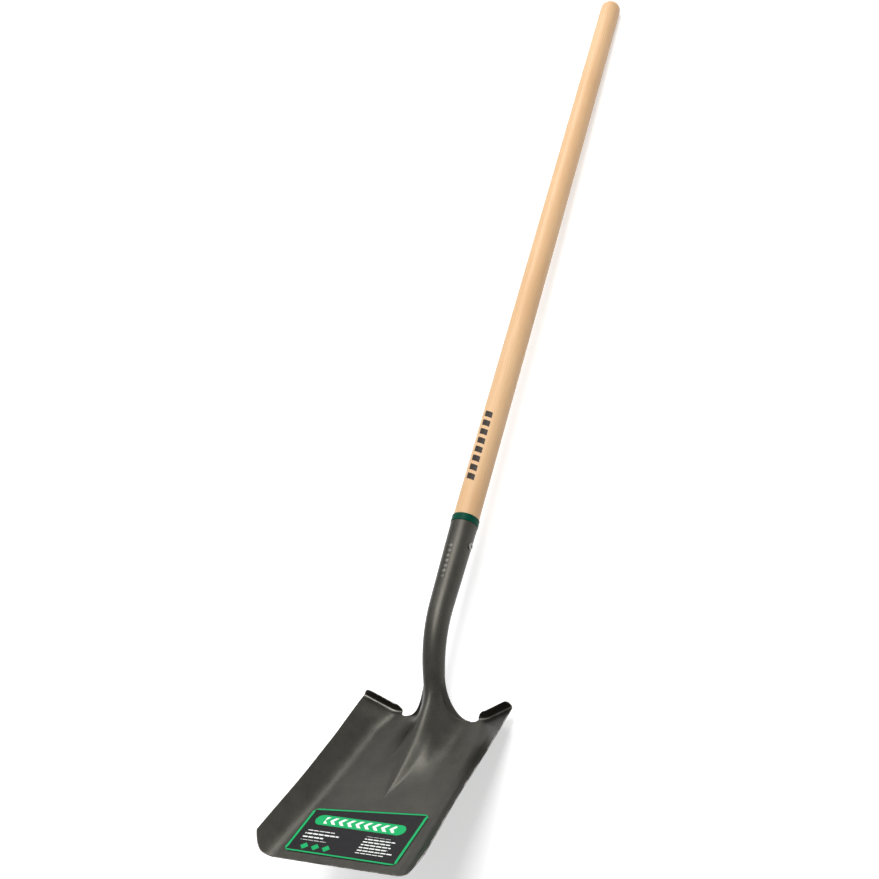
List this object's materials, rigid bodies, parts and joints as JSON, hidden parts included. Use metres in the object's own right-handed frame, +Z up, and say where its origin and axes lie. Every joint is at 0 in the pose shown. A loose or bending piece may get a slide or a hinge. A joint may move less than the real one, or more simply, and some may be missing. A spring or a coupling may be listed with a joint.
{
  "type": "square mouth shovel",
  "caption": "Long-handled square mouth shovel: hollow-backed steel pan with turned-up sides and steps, bent rolled socket, riveted round wooden handle, plastic collar and pan label.",
  "frame": {"origin": "centre of the bounding box in X and Y, on the surface the shovel lies on", "axes": "+Z up, with the hollow side of the pan facing up; +Y from the pan's mouth towards the grip end of the handle; X across the pan"},
  "size_m": [0.2444, 1.6022, 0.1736],
  "materials": {
    "steel": "dark hardened steel sheet under clear lacquer, semi-gloss, with mill marks and bare edges",
    "wood": "straight-grained hardwood, sanded and clear varnished",
    "rivet_steel": "bright zinc-plated steel",
    "collar_plastic": "dark green shrink ring, smooth",
    "label_film": "printed film, black with green and pale areas"
  },
  "bodies": {
    "root": {"blade": "steel", "handle": "wood", "rivet": "rivet_steel", "collar": "collar_plastic", "label": "label_film"}
  },
  "joints": []
}
